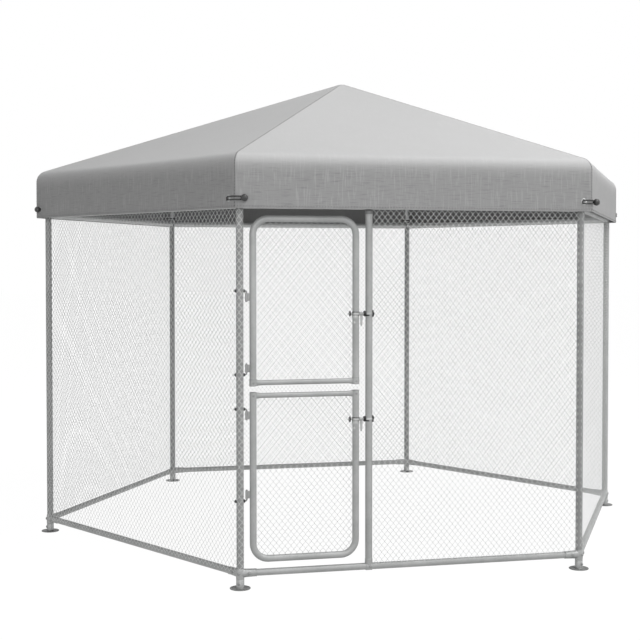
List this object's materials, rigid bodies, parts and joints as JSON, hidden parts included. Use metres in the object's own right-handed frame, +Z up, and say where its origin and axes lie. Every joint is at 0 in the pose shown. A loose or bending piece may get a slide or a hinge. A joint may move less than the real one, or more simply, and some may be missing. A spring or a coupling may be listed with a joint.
{
  "type": "dog kennel",
  "caption": "Walk-in hexagonal dog kennel: round tube frame, diamond wire netting, pointed fabric cover with a skirt, and a door in two leaves.",
  "frame": {"origin": "on the floor, in the middle of the hexagon of posts", "axes": "+Z up; the side with the door faces -Y; +X to the right seen from the door's side, towards the latch side of the door"},
  "size_m": [3.6532, 3.2156, 2.6455],
  "materials": {
    "tube": "galvanised",
    "fitting": "zinc plated, dull",
    "bolt": "dark, satin",
    "wire": "galvanised",
    "cover": "woven, matt",
    "cord": "matt"
  },
  "bodies": {
    "kennel_frame": {"foot_a": "fitting", "post_a": "tube", "rafter_a": "tube", "ball_cord_a": "cord", "foot_b": "fitting", "post_b": "tube", "rafter_b": "tube", "ball_cord_b": "cord", "foot_c": "fitting", "post_c": "tube", "rafter_c": "tube", "ball_cord_c": "cord", "foot_d": "fitting", "post_d": "tube", "rafter_d": "tube", "ball_cord_d": "cord", "foot_e": "fitting", "post_e": "tube", "rafter_e": "tube", "ball_cord_e": "cord", "foot_f": "fitting", "post_f": "tube", "rafter_f": "tube", "ball_cord_f": "cord", "bottom_rail_ab": "tube", "top_rail_ab": "tube", "net_ab": "wire", "bottom_rail_bc": "tube", "top_rail_bc": "tube", "net_bc": "wire", "bottom_rail_cd": "tube", "top_rail_cd": "tube", "net_cd": "wire", "bottom_rail_de": "tube", "top_rail_de": "tube", "net_de": "wire", "bottom_rail_ef": "tube", "top_rail_ef": "tube", "net_ef": "wire", "bottom_rail_fa": "tube", "top_rail_fa": "tube", "net_fa": "wire", "door_post": "tube", "door_post_tee": "fitting", "hub": "fitting", "cover": "cover", "upper_latch_strike": "bolt", "upper_leaf_top_hinge_bolt": "bolt", "upper_leaf_bottom_hinge_bolt": "bolt", "lower_latch_strike": "bolt", "lower_leaf_top_hinge_bolt": "bolt", "lower_leaf_bottom_hinge_bolt": "bolt"},
    "upper_leaf": {"upper_leaf_frame": "tube", "upper_leaf_net": "wire", "upper_latch_bracket": "fitting"},
    "upper_latch": {"upper_latch_handle": "fitting"},
    "lower_leaf": {"lower_leaf_frame": "tube", "lower_leaf_net": "wire", "lower_latch_bracket": "fitting"},
    "lower_latch": {"lower_latch_handle": "fitting"}
  },
  "joints": [
    {"name": "upper_leaf_swing", "type": "hinge", "parent": "kennel_frame", "child": "upper_leaf", "pos_m": [-0.84275, -1.51554, 0], "axis": [0, 0, -1], "range_deg": [0, 105]},
    {"name": "upper_latch_lift", "type": "hinge", "parent": "upper_leaf", "child": "upper_latch", "pos_m": [-0.2755, -1.51554, 1.3155], "axis": [-1, 0, 0], "range_deg": [0, 90]},
    {"name": "lower_leaf_swing", "type": "hinge", "parent": "kennel_frame", "child": "lower_leaf", "pos_m": [-0.84275, -1.51554, 0], "axis": [0, 0, -1], "range_deg": [0, 105]},
    {"name": "lower_latch_lift", "type": "hinge", "parent": "lower_leaf", "child": "lower_latch", "pos_m": [-0.2755, -1.51554, 0.8], "axis": [-1, 0, 0], "range_deg": [0, 90]}
  ]
}
